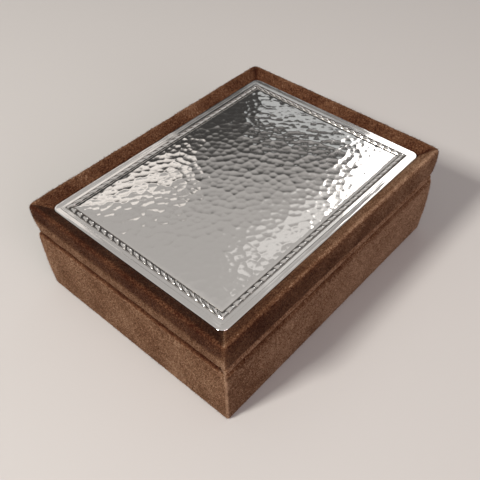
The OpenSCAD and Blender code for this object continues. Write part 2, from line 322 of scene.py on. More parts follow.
def makeVelvet(name, look, lift=0.0):
    kit = MaterialKit(name, SpecularIORLevel=0.08, SheenWeight=look["sheen"], SheenRoughness=0.38,
                      SheenTint=(*look["sheenTint"], 1))
    place = kit.objectPlace()
    grain = kit.noise(place, look["grain"], 1.5, 0.6)
    tuft = kit.noise(place, look["tuft"], 2.0, 0.6)
    brushed = kit.noise(place, look["brushed"], 3.0, 0.62)
    paintedShadeAndPatina = kit.mark("paintedShadeAndPatina")
    patches = (brushed - 0.5) * look["patchy"] + (tuft - 0.5) * 0.6
    # tone: the painted light and shade marked on each place, plus the velvet's own patchy and grainy unevenness
    tone = kit.clamped(paintedShadeAndPatina + patches + (grain - 0.5) * 1.5 + lift)
    stops = [(0.0, look["deep"]), (0.5, look["middle"]), (1.0, look["light"])]
    colour = kit.node("ShaderNodeValToRGB", {"stops": stops}, {"Fac": tone})
    height = grain * 0.7 + tuft * 0.6
    raised = kit.bump(height, look["grainDepth"], 0.85)
    kit.set(BaseColor=colour, Roughness=0.85 + 0.12 * grain, Normal=raised)
    return kit.material


silverLook = {
    "polished": (0.93, 0.905, 0.875),
    "shadowed": (0.42, 0.385, 0.345),   # the tarnish left in the recesses
    "gloss": 0.075,
    "smears": 9 * mm,
}


def makeSilver(name, look, gloss):
    kit = MaterialKit(name, Metallic=1.0)
    place = kit.objectPlace()
    smear = kit.noise(place, look["smears"], 4.0, 0.6)
    speck = kit.noise(place, 0.5 * mm, 2.0)
    recess = kit.clamped((0.5 - kit.mark("paintedShadeAndPatina")) * 2)
    dull = kit.clamped(recess * (0.75 + 0.5 * speck))
    colour = kit.mix(dull, look["polished"], look["shadowed"])
    kit.set(BaseColor=colour, Roughness=gloss + (smear - 0.5) * 0.05 + recess * 0.2)
    return kit.material


def makeBrass(name):
    kit = MaterialKit(name, Metallic=1.0)
    place = kit.objectPlace()
    drawn = kit.noise(kit.stretched(place, (0.06, 1, 1)), 0.25 * mm, 3.0)
    dull = kit.noise(place, 6 * mm, 3.0)
    colour = kit.mix(dull, (0.80, 0.60, 0.29), (0.58, 0.40, 0.17))
    kit.set(BaseColor=colour, Roughness=0.22 + 0.22 * drawn, Normal=kit.bump(drawn, 0.02 * mm, 0.4))
    return kit.material


def makeSteel(name):
    kit = MaterialKit(name, Metallic=1.0)
    drawn = kit.noise(kit.stretched(kit.objectPlace(), (0.05, 1, 1)), 0.2 * mm, 2.0)
    kit.set(BaseColor=kit.mix(drawn, (0.62, 0.61, 0.60), (0.74, 0.74, 0.73)), Roughness=0.2 + 0.15 * drawn)
    return kit.material


def makeWood(name):
    kit = MaterialKit(name, SpecularIORLevel=0.3)
    place = kit.stretched(kit.objectPlace(), (0.12, 1, 1))
    grain = kit.noise(place, 1.6 * mm, 6.0, 0.65)
    fibre = kit.noise(place, 0.3 * mm, 2.0)
    colour = kit.mix(grain, (0.62, 0.45, 0.27), (0.42, 0.27, 0.14))
    kit.set(BaseColor=colour, Roughness=0.55 + 0.2 * fibre, Normal=kit.bump(fibre + grain, 0.05 * mm, 0.5))
    return kit.material


def makeCard(name):
    kit = MaterialKit(name, SpecularIORLevel=0.2)
    fibre = kit.noise(kit.objectPlace(), 0.4 * mm, 4.0, 0.7)
    kit.set(BaseColor=kit.mix(fibre, (0.30, 0.26, 0.20), (0.20, 0.17, 0.13)), Roughness=0.9,
            Normal=kit.bump(fibre, 0.05 * mm, 0.5))
    return kit.material


def makeRibbon(name):
    kit = MaterialKit(name, SpecularIORLevel=0.45, SheenWeight=0.3, SheenRoughness=0.3,
                      SheenTint=(0.9, 0.7, 0.55, 1))
    place = kit.objectPlace()
    waves = {"wave_type": "BANDS", "bands_direction": "Y"}
    sockets = {"Vector": place, "Scale": 1 / (0.5 * mm) / 6.3, "Distortion": 0.4}
    threads = kit.node("ShaderNodeTexWave", waves, sockets)
    shade = kit.noise(place, 2 * mm, 2.0)
    colour = kit.mix(shade, (0.085, 0.038, 0.020), (0.15, 0.075, 0.042))
    kit.set(BaseColor=colour, Roughness=0.34 + 0.14 * threads, Normal=kit.bump(threads, 0.03 * mm, 0.6))
    return kit.material


def makeCloth(name):
    kit = MaterialKit(name, SpecularIORLevel=0.2, SheenWeight=0.15)
    place = kit.objectPlace()
    threads = {"Vector": place, "Scale": 1 / (0.6 * mm) / 6.3, "Distortion": 0.3}
    warp, weft = (
        kit.node("ShaderNodeTexWave", {"wave_type": "BANDS", "bands_direction": way}, threads)
        for way in ("X", "Y")
    )
    weave = kit.maths("MAXIMUM", warp, weft)
    fade = kit.noise(place, 12 * mm, 3.0)
    colour = kit.mix(fade, (0.030, 0.018, 0.012), (0.055, 0.035, 0.025))
    kit.set(BaseColor=colour, Roughness=0.8 + 0.1 * weave, Normal=kit.bump(weave, 0.08 * mm, 0.7))
    return kit.material


def makeMirror(name):
    kit = MaterialKit(name, Metallic=1.0, CoatWeight=1.0)
    smear = kit.noise(kit.objectPlace(), 14 * mm, 4.0, 0.6)
    kit.set(BaseColor=kit.mix(smear, (0.84, 0.88, 0.87), (0.80, 0.85, 0.84)), Roughness=0.015 + 0.03 * smear)
    return kit.material


outerVelvet = makeVelvet("velvet_outside", velvetLook)
liningVelvet = makeVelvet("velvet_lining", {**velvetLook, "brushed": 16 * mm}, 0.06)
trayVelvet = makeVelvet("velvet_tray", {**velvetLook, "brushed": 18 * mm, "grain": 0.28 * mm}, 0.02)
hammeredSilver = makeSilver("silver_hammered", silverLook, silverLook["gloss"])
chasedSilver = makeSilver("silver_chased", silverLook, silverLook["gloss"] + 0.02)
brass = makeBrass("brass_satin")
steel = makeSteel("steel_wire")
birch = makeWood("birch_sanded")
card = makeCard("card_grey")
ribbon = makeRibbon("ribbon_satin")
undersideCloth = makeCloth("cloth_underside")
mirrorSilvered = makeMirror("mirror_silvered")
print("materials made")


hingeRoom = {
    "halfAngle": 50,          # of the notch behind the hinge, in degrees
    "skin": 0.2 * mm,
    "cove": 1.9 * mm,
}


def clearOfHinge(points, upper):
    # points in the notch behind the hinge axis move straight up or down to its slanting side,
    # and points too near the axis move straight away from it
    way = 1 if upper else -1
    slant = math.radians(hingeRoom["halfAngle"])
    apex = axisY - hingeRoom["skin"] / math.sin(slant)
    moved = points.copy()
    limit = np.maximum(moved[..., 1] - apex, 0) * math.tan(slant)
    behind = moved[..., 1] > apex
    gap = (moved[..., 2] - axisZ) * way
    moved[..., 2] = np.where(behind & (gap < limit), axisZ + way * limit, moved[..., 2])
    offset = moved[..., 1:] - np.array([axisY, axisZ])
    reach = np.linalg.norm(offset, axis=-1)
    near = reach < hingeRoom["cove"]
    scale = np.where(near, hingeRoom["cove"] / np.maximum(reach, 1e-6), 1)
    moved[..., 1:] = np.array([axisY, axisZ]) + offset * scale[..., None]
    return moved


plaque = {
    "rim": 0.8 * mm,
    "rimHeight": 0.69 * mm,
    "margin": 3.2 * mm,
    "rope": 2.0 * mm,
    "twist": 3.5 * mm,        # length of one turn of the rope
    "ropeHeight": 0.62 * mm,
    "acrossRope": 15,         # places across the rope
    "perTurn": 11,            # places along each turn of it
    "sheet": 0.60 * mm,       # height of the flat margin over the backing
    "mark": 3.0 * mm,         # spacing of the hammer marks
    "hammer": 40 * mm,        # radius of the hammer's face
    "crown": 0.22 * mm,       # how far the middle stands over the edges
    "cornerRound": 3.1 * mm,
}

lidStrip = {
    "crest": 1.5 * mm,        # rounding of the crest
    "lean": 0.75 * mm,        # how far the side leans in towards its foot
    "hem": 1.2 * mm,          # rounding at the foot
    "crease": 0.40 * mm,      # depth of the fold at the mitres
    "creaseWidth": 0.8 * mm,
    "uneven": 0.10 * mm,
    "cornerRound": 0.9 * mm,
    # painted light and shade at each mitre, against the rest of the strip
    "mitres": {"right front": 0.05, "right back": 0.34, "left back": -0.34, "left front": -0.30},
    # painted light and shade on each side, as the light falls on it: how light the pile is made at the hem, on the
    # side, below the crest, on the crest and on the border
    "tones": {
        "right": (0.60, 0.60, 0.12, 0.12, 0.01),
        "back": (0.13, 0.13, 0.13, 0.40, 0.20),
        "left": (0.50, 0.50, 0.42, 0.46, 0.30),
        "front": (0.55, 0.55, 0.44, 0.46, 0.32),
    },
    "backLighter": 0.50,      # painted light: how much lighter the back's pile is made from its right end to its left
}


def lidOutline():
    # the strip's cross-section, from under the rail round the outside to under the plaque's rim
    tuck = plaqueHalf[0] - lidHalf[0]
    inner = innerHalf[0] - lidHalf[0]
    rimTop = plaqueFoot + 0.9 * mm
    lean, hem = -lidStrip["lean"], lidStrip["hem"]
    return smoothLine([
        (inner, lidBottom), (lean - 1.6 * hem, lidBottom), (lean - 0.25 * hem, lidBottom + 0.12 * hem),
        (lean + 0.04 * hem, lidBottom + 1.2 * hem), (-0.12 * mm, lidBottom + 6.5 * mm),
        (0.12 * mm, caseTop - 3.6 * mm), (0.08 * mm, caseTop - 1.3 * mm), (-0.30 * mm, caseTop - 0.22 * mm),
        (-1.1 * mm, caseTop + 0.06 * mm), (-2.2 * mm, caseTop - 0.45 * mm),
        (tuck + 1.3 * mm, rimTop + 0.4 * mm), (tuck + 0.15 * mm, rimTop - 0.3 * mm),
        (tuck + 0.05 * mm, plaqueFoot), (tuck - 0.5 * mm, plaqueFoot),
    ], 64, 4)


def stripTone(outline, tones):
    # painted light and shade, blended by height up to the crest, and by the distance in from it on the border;
    # nearly black at the foot, where the seam lies in shade
    out, up = outline[:, 0], outline[:, 1]
    hem, face, below, crest, border = tones
    heights = [lidBottom + 0.1 * mm, lidBottom + 0.6 * mm, lidBottom + 1.2 * mm, caseTop - 8.2 * mm,
               caseTop - 5.4 * mm, caseTop - 0.7 * mm, caseTop - 0.2 * mm]
    side = np.interp(up, heights, [0.02, hem * 0.6, face, face, below, below, crest])
    top = np.interp(out, [-5.5 * mm, -4 * mm, -2 * mm, -1.2 * mm], [border * 0.7, border, border, crest])
    past = np.arange(len(out)) > np.argmax(up)
    return np.where(past, top, side)


def buildLidStrip(side):
    outline = lidOutline()
    out = outline[:, 0]
    tuck = plaqueHalf[0] - lidHalf[0]
    radius = np.interp(out, [tuck, tuck * 0.4, 0], [plaque["cornerRound"], 1.7 * mm, lidStrip["cornerRound"]])
    stations = stationsSide(side, 150, 9)
    points, normals = carry(outline, stations, lidHalf, radius)
    # the fold at the mitres, measured from the diagonal through each corner
    corner = np.abs(np.abs(points[..., 0]) - lidHalf[0] - (np.abs(points[..., 1]) - lidHalf[1]))
    away = corner / math.sqrt(2)
    fold = np.exp(-(away / lidStrip["creaseWidth"]) ** 1.6)
    crown = np.clip((outline[:, 1] - caseTop + 9 * mm) / (6 * mm), 0.25, 1)[None]
    points = points - normals * (fold * crown * lidStrip["crease"])[..., None]
    puff = ripples(points, 13 * mm, 11) * 0.6 + ripples(points, 5 * mm, 12) * 0.4
    points = points + normals * (puff * lidStrip["uneven"])[..., None]
    points[..., 2] = np.maximum(points[..., 2], lidBottom - 0.02 * mm)
    points = clearOfHinge(points, True)
    if side == "back":
        inside = (points[..., 1] < axisY) & (points[..., 2] < railBottom + 0.05 * mm)
        points[..., 2] = np.where(inside, railBottom + 0.05 * mm, points[..., 2])
    tone = stripTone(outline, lidStrip["tones"][side])
    # painted light and shade at the mitre folds: each corner made lighter or darker
    mitre = sum(
        tone * (((points[..., 0] > 0) == ("right" in place)) & ((points[..., 1] > 0) == ("back" in place)))
        for place, tone in lidStrip["mitres"].items()
    )
    tone = tone[None] + mitre * fold + 0.10 * ripples(points, 16 * mm, 21)
    # painted light: the back made lighter towards its left end
    if side == "back":
        tone = tone + lidStrip["backLighter"] * (0.5 - 0.5 * points[..., 0] / lidHalf[0])
    # the hidden inside of the strip lies against the rail and the board
    back = np.array([(plaqueHalf[0] - lidHalf[0] - 0.5 * mm, boardTop), (woodHalf[0] - lidHalf[0], boardTop),
                     (woodHalf[0] - lidHalf[0], railBottom), (innerHalf[0] - lidHalf[0], railBottom)])
    hidden, _ = carry(back, stations, lidHalf, np.full(4, 0.5 * mm))
    if side == "back":
        hidden = clearOfHinge(hidden, True)
    whole = np.concatenate([points, hidden], 1)
    marks = np.concatenate([tone, np.full(hidden.shape[:2], 0.4)], 1)
    shape = Shape()
    start = shape.grid(whole, closeColumns=True, mark=marks)
    shape.capEnds(start, *whole.shape[:2])
    piece = shape.piece(f"lid_{side}_velvet_strip", outerVelvet)
    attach(piece, "lid")
    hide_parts(f"lid_{side}_velvet")
    return piece


lidStrips = [buildLidStrip(side) for side in ("front", "back", "left", "right")]
print("lid velvet made")

baseWrap = {
    "shoulder": 1.2 * mm,
    "foot": 0.6 * mm,
    "taper": 0.6 * mm,        # how much narrower the foot is than the rim
    "bulge": 0.45 * mm,       # how far the padding stands out under the rim
    "uneven": 0.10 * mm,
    "cornerRound": 0.9 * mm,
    # painted highlight on the rounded corners
    "cornerWear": 0.34,
    # painted light and shade on each side, as the light falls on it
    "tones": {"right": 0.58, "back": 0.74, "left": 0.60, "front": 0.60},
    "backLighter": 0.12,      # painted light: how much lighter the back's pile is made from its middle to its left end
}


def buildBaseWrap():
    # one closed outline: turned in under the walls, up the outside, over the rim and down inside it
    shoulder, foot = baseWrap["shoulder"], baseWrap["foot"]
    footZ = low("base_velvet")[2]
    turnIn = woodHalf[0] - baseHalf[0] - 1 * mm
    rim = innerHalf[0] - baseHalf[0]
    skin = woodHalf[0] - baseHalf[0]
    taper = baseWrap["taper"]
    side = -taper * np.linspace(1, 0, 26) + baseWrap["bulge"] * np.sin(np.linspace(0.05, 0.9, 26) * math.pi)
    outside = np.concatenate([
        [(turnIn, footZ + 0.35 * mm), (turnIn, footZ)],
        arcLine((-taper - foot, footZ + foot), foot, -90, 0, 7),
        np.stack([side, np.linspace(footZ + 1.4 * foot, baseTop - 1.2 * shoulder, 26)], 1),
        arcLine((side[-1] - shoulder, baseTop - shoulder), shoulder, 0, 90, 12),
        np.stack([np.linspace(side[-1] - shoulder - 0.1 * mm, rim + 0.5 * mm, 30), np.full(30, baseTop)], 1),
        arcLine((rim + 0.35 * mm, baseTop - 0.35 * mm), 0.35 * mm, 90, 180, 5),
    ])
    inside = np.array([(rim, woodTop), (skin, woodTop), (skin, footZ + 0.35 * mm)])
    outline = np.concatenate([outside, inside])
    radius = np.interp(outline[:, 0], [rim, -2 * mm, 0], [0.3 * mm, 0.8 * mm, baseWrap["cornerRound"]])
    stations = stationsRound(170, 130, 10)
    points, normals = carry(outline, stations, baseHalf, radius)
    seen = np.arange(len(outline)) < len(outside)
    puff = ripples(points, 16 * mm, 31) * 0.6 + ripples(points, 6 * mm, 32) * 0.4
    fade = np.clip((points[..., 2] - footZ) / (2 * mm), 0, 1)
    points = points + normals * (puff * fade * seen * baseWrap["uneven"])[..., None]
    points[..., 2] = np.clip(points[..., 2], footZ, baseTop)
    points = clearOfHinge(points, False)
    # the leaf of the hinge lies where the velvet is cut away along the back rim
    leafLow, leafHigh = low("base_hinge_leaf"), high("base_hinge_leaf")
    onLeaf = (points[..., 1] > leafLow[1] - 0.6 * mm) & (points[..., 1] < axisY)
    onLeaf &= (np.abs(points[..., 0]) < leafHigh[0] + 0.4 * mm) & (points[..., 2] > woodTop - 0.1 * mm)
    points[..., 2] = np.where(onLeaf, woodTop - 0.1 * mm, points[..., 2])
    facing = stations[:, 2:]
    # painted light and shade on each side by the way it faces, lighter towards the back's left end
    tones = baseWrap["tones"]
    ways = {"right": facing[:, 0], "left": -facing[:, 0], "back": facing[:, 1], "front": -facing[:, 1]}
    tone = sum(np.clip(along, 0, 1) ** 2 * tones[side] for side, along in ways.items())
    tone = tone - baseWrap["backLighter"] * stations[:, 0] * np.clip(facing[:, 1], 0, 1)
    # painted highlight where the wrap turns round the corners
    turning = np.minimum(np.abs(facing[:, 0]), np.abs(facing[:, 1]))
    tone = tone + baseWrap["cornerWear"] * np.clip(turning * 2.5, 0, 1)
    # painted shade where the rim turns in under the lid, and over the whole bevel at the back
    depth = np.where(facing[:, 1] > 0.6, 4.5 * mm, 1.0 * mm)[:, None]
    up = np.clip((points[..., 2] - baseTop + depth) / depth, 0, 1)
    marks = tone[:, None] - 0.55 * up + 0.08 * ripples(points, 20 * mm, 33)
    shape = Shape()
    shape.grid(points, closeRows=True, closeColumns=True, mark=marks)
    piece = shape.piece("base_velvet_wrap", outerVelvet, weld=0.004 * mm)
    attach(piece, "base")
    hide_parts("base_velvet")
    return piece


baseVelvet = buildBaseWrap()

hingeRoll = {
    "inner": 1.25 * mm,
    "outer": 1.68 * mm,
    "from": -14,
    "to": 110,
    "tone": 0.62,
}


def buildHingeRoll():
    # a strip bent round the knuckles: an outer and an inner arc joined at their edges, drawn out
    # along the axis, and drawn in to a rounded end
    centre = (axisY, axisZ)
    outer = arcLine(centre, hingeRoll["outer"], hingeRoll["from"], hingeRoll["to"], 18)
    inner = arcLine(centre, hingeRoll["inner"], hingeRoll["to"], hingeRoll["from"], 18)
    outline = np.concatenate([outer, inner])
    reach = high("hinge_cover")[0]
    run = np.sin(np.linspace(-1, 1, 190) * math.pi / 2) * reach
    ends = np.clip((reach - np.abs(run)) / (0.8 * mm), 0, 1)
    thin = np.sqrt(np.clip(1 - (1 - ends) ** 2, 0, 1))
    middle = np.array(centre)
    offset = outline - middle
    length = np.linalg.norm(offset, axis=1)[:, None]
    mean = (hingeRoll["outer"] + hingeRoll["inner"]) / 2
    slim = mean + (length - mean) * thin[None].T[:, None]
    slim = slim.reshape(len(run), len(outline))
    flat = middle[None, None] + (offset / length)[None] * slim[..., None]
    points = np.concatenate([np.broadcast_to(run[:, None, None], flat.shape[:2] + (1,)), flat], 2)
    wobble = ripples(points, 7 * mm, 41) * 0.05 * mm
    outward = np.broadcast_to((offset / length)[None], flat.shape)
    away = np.concatenate([np.zeros(flat.shape[:2] + (1,)), outward], 2)
    isOuter = (np.arange(len(outline)) < len(outer))[None]
    points = points + away * (wobble * isOuter)[..., None]
    shape = Shape()
    start = shape.grid(points, closeColumns=True, mark=hingeRoll["tone"] + 0.1 * ripples(points, 9 * mm, 42))
    shape.capEnds(start, len(run), len(outline))
    piece = shape.piece("hinge_velvet_roll", outerVelvet)
    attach(piece, "lid")
    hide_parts("hinge_cover")
    return piece


hingeVelvet = buildHingeRoll()

pile = {
    "perSquareMm": 7.0,
    "length": (0.40 * mm, 0.95 * mm),
    "width": 0.12 * mm,
    "spread": 0.6,           # how far the fibres splay
}


def buildPile(name, pieces, body, seed, shown):
    # short fibres, one narrow triangle each, standing on the outside of the velvet: places are
    # spread evenly over the surface by chance, and each fibre leans its own way
    dice = np.random.default_rng(seed)
    shape = Shape()
    for piece in pieces:
        mesh = piece.data
        mesh.calc_loop_triangles()
        count = len(mesh.loop_triangles)
        corners = np.empty(count * 3, np.int32)
        mesh.loop_triangles.foreach_get("vertices", corners)
        corners = corners.reshape(-1, 3)
        places = np.empty(len(mesh.vertices) * 3, np.float32)
        mesh.vertices.foreach_get("co", places)
        places = places.reshape(-1, 3).astype(float)
        marks = np.empty(len(mesh.vertices), np.float32)
        mesh.attributes["paintedShadeAndPatina"].data.foreach_get("value", marks)
        a, b, c = (places[corners[:, i]] for i in range(3))
        cross = np.cross(b - a, c - a)
        area = np.linalg.norm(cross, axis=1) / 2
        normal = cross / np.maximum(area * 2, 1e-18)[:, None]
        area = area * shown((a + b + c) / 3, normal)
        amount = int(area.sum() / mm ** 2 * pile["perSquareMm"])
        pick = dice.choice(count, amount, p=area / area.sum())
        u, v = dice.random((2, amount))
        over = u + v > 1
        u, v = np.where(over, 1 - u, u)[:, None], np.where(over, 1 - v, v)[:, None]
        root = a[pick] * (1 - u - v) + b[pick] * u + c[pick] * v - normal[pick] * 0.05 * mm
        lean = normal[pick] + dice.normal(size=(amount, 3)) * pile["spread"]
        lean /= np.linalg.norm(lean, axis=1)[:, None]
        across = np.cross(lean, dice.normal(size=(amount, 3)))
        across *= pile["width"] / 2 / np.linalg.norm(across, axis=1)[:, None]
        length = dice.uniform(*pile["length"], amount)[:, None]
        blades = np.stack([root - across, root + across, root + lean * length], 1)
        tone = marks[corners[pick, 0]] + dice.normal(size=amount) * 0.10
        # painted shade at each fibre's root and painted light at its tip
        tones = np.stack([tone - 0.15, tone - 0.15, tone + 0.12], 1)
        start = shape.add(blades, tones)
        index = start + np.arange(amount * 3).reshape(-1, 3)
        shape.faces += [tuple(t) for t in index.tolist()]
    whole = shape.piece(name, outerVelvet, turnOut=False)
    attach(whole, body)
    return whole


def lidShown(places, normals):
    outside = np.abs(places[:, 0]) > woodHalf[0] + 0.1 * mm
    outside |= np.abs(places[:, 1]) > woodHalf[1] + 0.1 * mm
    outside |= (places[:, 2] > plaqueFoot + 0.9 * mm) & (normals[:, 2] > 0)
    nearAxis = np.hypot(places[:, 1] - axisY, places[:, 2] - axisZ) < 3.2 * mm
    return outside & (places[:, 2] > lidBottom + 1.0 * mm) & ~nearAxis


def baseShown(places, normals):
    outside = np.maximum(np.abs(places[:, 0]) - woodHalf[0], np.abs(places[:, 1]) - woodHalf[1]) > 0.4 * mm
    nearAxis = np.hypot(places[:, 1] - axisY, places[:, 2] - axisZ) < 3.2 * mm
    return outside & (places[:, 2] > 1.0 * mm) & (places[:, 2] < baseTop - 0.8 * mm) & ~nearAxis


lidPile = buildPile("lid_velvet_pile", lidStrips, "lid", 101, lidShown)
basePile = buildPile("base_velvet_pile", [baseVelvet], "base", 102, baseShown)
print("base velvet made")


def hammered(x, y):
    # every blow leaves a shallow bowl; the surface is the lowest of the bowls nearby, and they
    # lie on a staggered grid, shifted by chance
    dice = np.random.default_rng(7)
    step = plaque["mark"]
    rowStep = step * 0.86
    columns = int(2 * plaqueHalf[0] / step) + 8
    rows = int(2 * plaqueHalf[1] / rowStep) + 8
    shift = dice.uniform(-0.42, 0.42, (rows, columns, 2)) * step
    deep = dice.uniform(-0.008, 0.008, (rows, columns)) * mm
    bend = 1 / (2 * plaque["hammer"] * dice.uniform(0.75, 1.35, (rows, columns)))
    row = np.floor(y / rowStep + rows / 2).astype(int)
    column = np.floor(x / step + columns / 2).astype(int)
    soft = 0.0045 * mm
    total = np.zeros_like(x)
    for i in range(-2, 4):
        for j in range(-2, 4):
            r = np.clip(row + i, 0, rows - 1)
            c = np.clip(column + j, 0, columns - 1)
            cx = (c - columns / 2 + 0.5 * (r % 2)) * step + shift[r, c, 0]
            cy = (r - rows / 2) * rowStep + shift[r, c, 1]
            bowl = ((x - cx) ** 2 + (y - cy) ** 2) * bend[r, c] + deep[r, c]
            total += np.exp(-np.minimum(bowl, 0.3 * mm) / soft)
    return -soft * np.log(total)


def buildField():
    inset = plaque["rim"] + plaque["margin"] + plaque["rope"] + 0.25 * mm
    halfX, halfY = plaqueHalf - inset
    step = 0.36 * mm
    x, y = np.meshgrid(np.linspace(-halfX, halfX, int(2 * halfX / step)),
                       np.linspace(-halfY, halfY, int(2 * halfY / step)), indexing="ij")
    fromEdge = np.minimum(halfX - np.abs(x), halfY - np.abs(y))
    rise = plaque["crown"] * (1 - np.clip(1 - fromEdge / (22 * mm), 0, 1) ** 2.2)
    edge = np.clip(fromEdge / (1.2 * mm), 0, 1)
    blows = hammered(x, y)
    z = plaqueFoot + plaque["sheet"] + 0.22 * mm + rise + (blows - blows.min()) * (0.35 + 0.65 * edge)
    z -= 0.16 * mm * (1 - edge) ** 2
    top = np.stack([x, y, z], 2)
    shape = Shape()
    shape.grid(top, mark=0.5)
    piece = shape.piece("plaque_hammered_field", hammeredSilver, turnOut=False)
    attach(piece, "lid")
    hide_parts("silver_plaque")
    return piece


def buildPlaqueBorder():
    rim, margin, rope = plaque["rim"], plaque["margin"], plaque["rope"]
    base = plaqueFoot + plaque["sheet"]
    ropeAt = rim + margin + rope / 2
    # heights across the border, by distance in from its outer edge
    rimTop = plaqueFoot + plaque["rimHeight"]
    skirt = np.array([(-0.02 * mm, plaqueFoot), (0.0, plaqueFoot + 0.2 * mm)])
    bead = smoothLine([(0, plaqueFoot + 0.25 * mm), (0.02 * mm, rimTop - 0.22 * mm),
                       (-0.12 * mm, rimTop - 0.05 * mm), (-0.45 * rim, rimTop), (-1.1 * rim, rimTop),
                       (-2.2 * rim, rimTop - 0.05 * mm), (-3.0 * rim, base + 0.02 * mm)], 18)
    flat = np.stack([-np.linspace(3.1 * rim, ropeAt - rope / 2 - 0.1 * mm, 8), np.full(8, base)], 1)
    band = np.linspace(-1, 1, plaque["acrossRope"])
    ropeLine = np.stack([-(ropeAt + band * rope / 2), np.full(len(band), base)], 1)
    groove = np.array([(-(ropeAt + rope / 2 + 0.10 * mm), base - 0.16 * mm),
                       (-(ropeAt + rope / 2 + 0.22 * mm), base - 0.2 * mm),
                       (-(ropeAt + rope / 2 + 0.36 * mm), base - 0.02 * mm),
                       (-(ropeAt + rope / 2 + 0.5 * mm), base + 0.06 * mm)])
    outline = np.concatenate([skirt, bead, flat, ropeLine, groove])
    out = outline[:, 0]
    radius = np.maximum(plaque["cornerRound"] + out, 0.35 * mm)
    perimeter = 4 * (plaqueHalf.sum() - 2 * ropeAt)
    turns = round(perimeter / plaque["twist"])
    longSide, shortSide = (2 * (plaqueHalf - ropeAt) / plaque["twist"] * plaque["perTurn"]).astype(int)
    stations = stationsRound(longSide, shortSide, 8)
    points, _ = carry(outline, stations, plaqueHalf, radius)
    # how far round the rope each place is
    first = len(skirt) + len(bead) + len(flat)
    last = first + len(band)
    middle = first + len(band) // 2
    line = points[:, middle, :2]
    steps = np.linalg.norm(np.roll(line, -1, axis=0) - line, axis=1)
    run = np.concatenate([[0], np.cumsum(steps)[:-1]]) / steps.sum() * turns
    lobe = np.abs(np.sin(math.pi * (run[:, None] + 0.34 * band[None]))) ** 0.55
    body = np.sqrt(np.clip(1 - band ** 2, 0, 1))[None] ** 0.8
    strand = plaque["ropeHeight"] * body * (0.25 + 0.75 * lobe)
    points[:, first:last, 2] += strand - 0.10 * mm * (1 - body)
    marks = np.full(points.shape[:2], 0.5)
    marks[:, first:last] = 0.5 - 0.42 * (1 - lobe) ** 1.5 - 0.25 * (1 - body)
    marks[:, last:last + 3] = 0.12
    marks[:, first - 1] = 0.3
    wave = ripples(points, 9 * mm, 51) * 0.012 * mm
    points[..., 2] += wave * (np.abs(out) > rim)[None]
    shape = Shape()
    shape.grid(points, closeRows=True, mark=marks)
    piece = shape.piece("plaque_rope_border", chasedSilver, turnOut=False)
    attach(piece, "lid")
    return piece


hammeredField = buildField()
ropeBorder = buildPlaqueBorder()
print("plaque made")


def slabShape(box, round3, puff, cornerRound, rings=10, seed=1, uneven=0.05 * mm, faceAxis=2, tone=0.5):
    # a slab with rounded edges and puffed faces: rings round its plan, set in step by step from
    # the rim to its middle line, first up the back, then over the edge, then down the front
    lowest, highest = np.array(box[0], float), np.array(box[1], float)
    order = {0: (1, 2, 0), 1: (2, 0, 1), 2: (0, 1, 2)}[faceAxis]
    size = (highest - lowest)[list(order)]
    centre = (highest + lowest)[list(order)] / 2
    half = size / 2
    edge = min(round3, half[2])
    reachIn = min(half[0], half[1])
    turn = np.linspace(0, math.pi / 2, 6)
    rimIn, rimUp = edge * (1 - np.cos(turn)), half[2] - edge + edge * np.sin(turn)
    insets = edge + (reachIn - edge) * np.linspace(0, 1, rings + 1)[1:] ** 1.35
    rise = puff * np.sin(np.clip((insets - edge) / max(reachIn - edge, 1e-9), 0, 1) * math.pi / 2) ** 0.8
    face = np.stack([-insets, half[2] - puff + rise], 1)
    front = np.concatenate([np.stack([-rimIn, rimUp - puff], 1), face])
    back = np.concatenate([np.stack([-insets[::-1], np.full(rings, -half[2])], 1),
                           np.stack([-rimIn[::-1], -(half[2] - edge + edge * np.sin(turn[::-1]))], 1)])
    outline = np.concatenate([back, front])
    radius = np.clip(cornerRound + outline[:, 0], 0.02 * mm, None)
    radius = np.minimum(radius, np.minimum(half[0], half[1]) + outline[:, 0])
    radius = np.maximum(radius, 0)
    stations = stationsRound(40, 40, 6)
    points, _ = carry(outline, stations, half[:2], radius)
    points[:, len(back):, 2] += (ripples(points + centre, 8 * mm, seed) * uneven)[:, len(back):]
    points[..., 2] = np.clip(points[..., 2], -half[2], half[2])
    placed = np.empty_like(points)
    for i, axis in enumerate(order):
        placed[..., axis] = points[..., i] + centre[i]
    # painted shade along the slab's rounded edges, where the panels meet
    marks = tone + 0.12 * ripples(placed, 18 * mm, seed + 1) - 0.15 * np.exp(outline[:, 0] / (1 * mm))[None]
    return placed, marks


def buildSlab(name, node, body, material, slot, **look):
    fill = look.pop("fill", None)
    points, marks = slabShape(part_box(node), **look)
    shape = Shape()
    shape.grid(points, closeRows=True, mark=marks)
    piece = shape.piece(name, material, weld=0.01 * mm)
    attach(piece, body)
    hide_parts(node)
    return piece


linedPanel = {
    "round3": 0.5 * mm,
    "puff": 0.12 * mm,
    "cornerRound": 0.4 * mm,
    "uneven": 0.03 * mm,
    "fill": 0.8,
}
panelFaces = {"front": 1, "back": 1, "left": 0, "right": 0}
for index, (side, axis) in enumerate(panelFaces.items()):
    for body, node in (("base", f"{side}_lining"), ("lid", f"lid_{side}_lining")):
        buildSlab(f"{node}_panel", node, body, liningVelvet, "lining_velvet", faceAxis=axis,
                  seed=60 + 4 * index, tone=0.5, **linedPanel)
buildSlab("floor_pad_velvet", "floor_pad", "base", liningVelvet, "lining_velvet", round3=0.5 * mm,
          puff=0.25 * mm, cornerRound=1 * mm, seed=80, rings=16, fill=0.7)

mirrorLook = {"bevel": 3.2 * mm, "bevelDrop": 0.55 * mm, "edge": 0.15 * mm}


